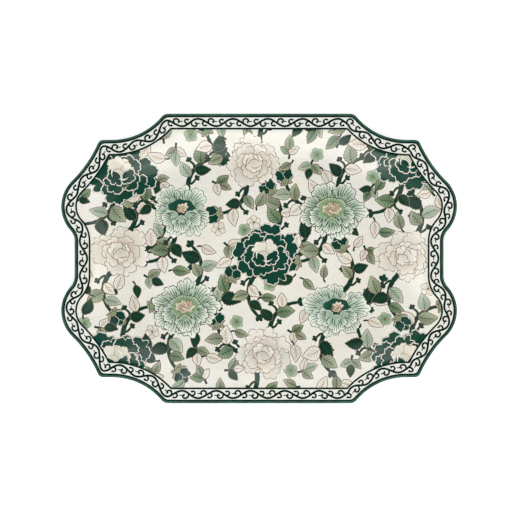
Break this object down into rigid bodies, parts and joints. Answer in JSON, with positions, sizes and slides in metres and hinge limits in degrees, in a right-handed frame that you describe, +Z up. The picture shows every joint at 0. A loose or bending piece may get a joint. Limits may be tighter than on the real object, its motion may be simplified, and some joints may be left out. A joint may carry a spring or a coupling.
{
  "type": "serving tray",
  "caption": "Shallow rectangular serving tray of pressed sheet steel, with a lobed outline, a flat border, a rolled wired rim and a lacquered, painted face.",
  "frame": {"origin": "centre of the flat underside, on the table", "axes": "+X along the tray's length, +Y across it, +Z up"},
  "size_m": [0.41, 0.3, 0.0201],
  "materials": {
    "pan": "satin",
    "rim_wire": "satin",
    "ground_coat": "gloss",
    "rim_coat": "gloss",
    "outer_line": "gloss",
    "inner_line": "gloss"
  },
  "bodies": {
    "root": {"pan": "pan", "rim_wire": "rim_wire", "ground_coat": "ground_coat", "rim_coat": "rim_coat", "outer_line": "outer_line", "inner_line": "inner_line"}
  },
  "joints": []
}
